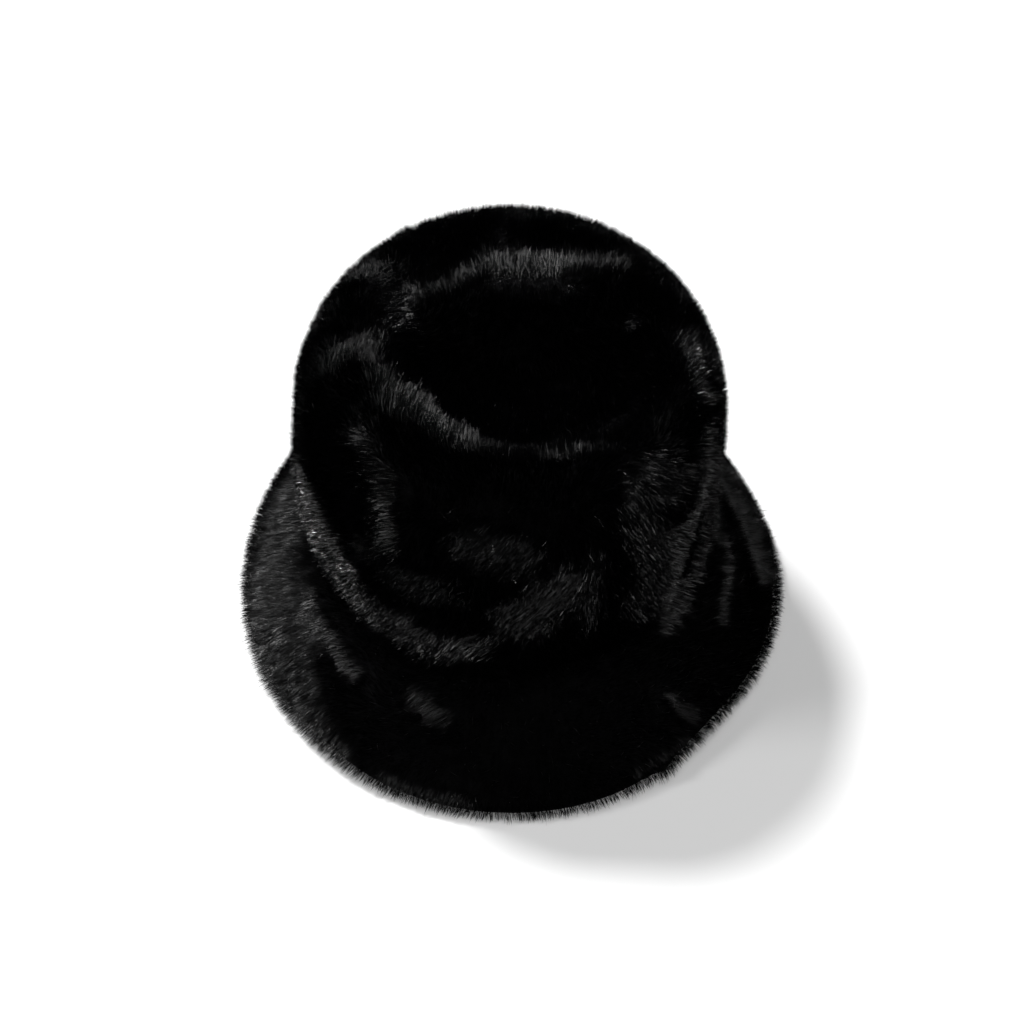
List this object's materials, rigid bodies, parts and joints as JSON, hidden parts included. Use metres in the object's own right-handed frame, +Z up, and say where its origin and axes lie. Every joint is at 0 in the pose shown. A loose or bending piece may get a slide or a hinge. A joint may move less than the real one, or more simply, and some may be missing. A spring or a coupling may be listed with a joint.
{
  "type": "faux fur bucket hat",
  "caption": "Black plush fur bucket hat with a rounded crown, a dented oval tip and a short sloping brim, standing on its hem.",
  "frame": {"origin": "middle of the hat's footprint, on the surface that the hem stands on", "axes": "+Z up through the crown, -Y out of the hat's front, +X to the right when the hat is seen from its front"},
  "size_m": [0.2614, 0.3002, 0.1606],
  "materials": {
    "black_fur": "short dense plush pile, combed in patches, with a soft cool sheen"
  },
  "bodies": {
    "root": {"crown_tip": "black_fur", "band_left": "black_fur", "band_right": "black_fur", "brim_left": "black_fur", "brim_right": "black_fur"}
  },
  "joints": []
}
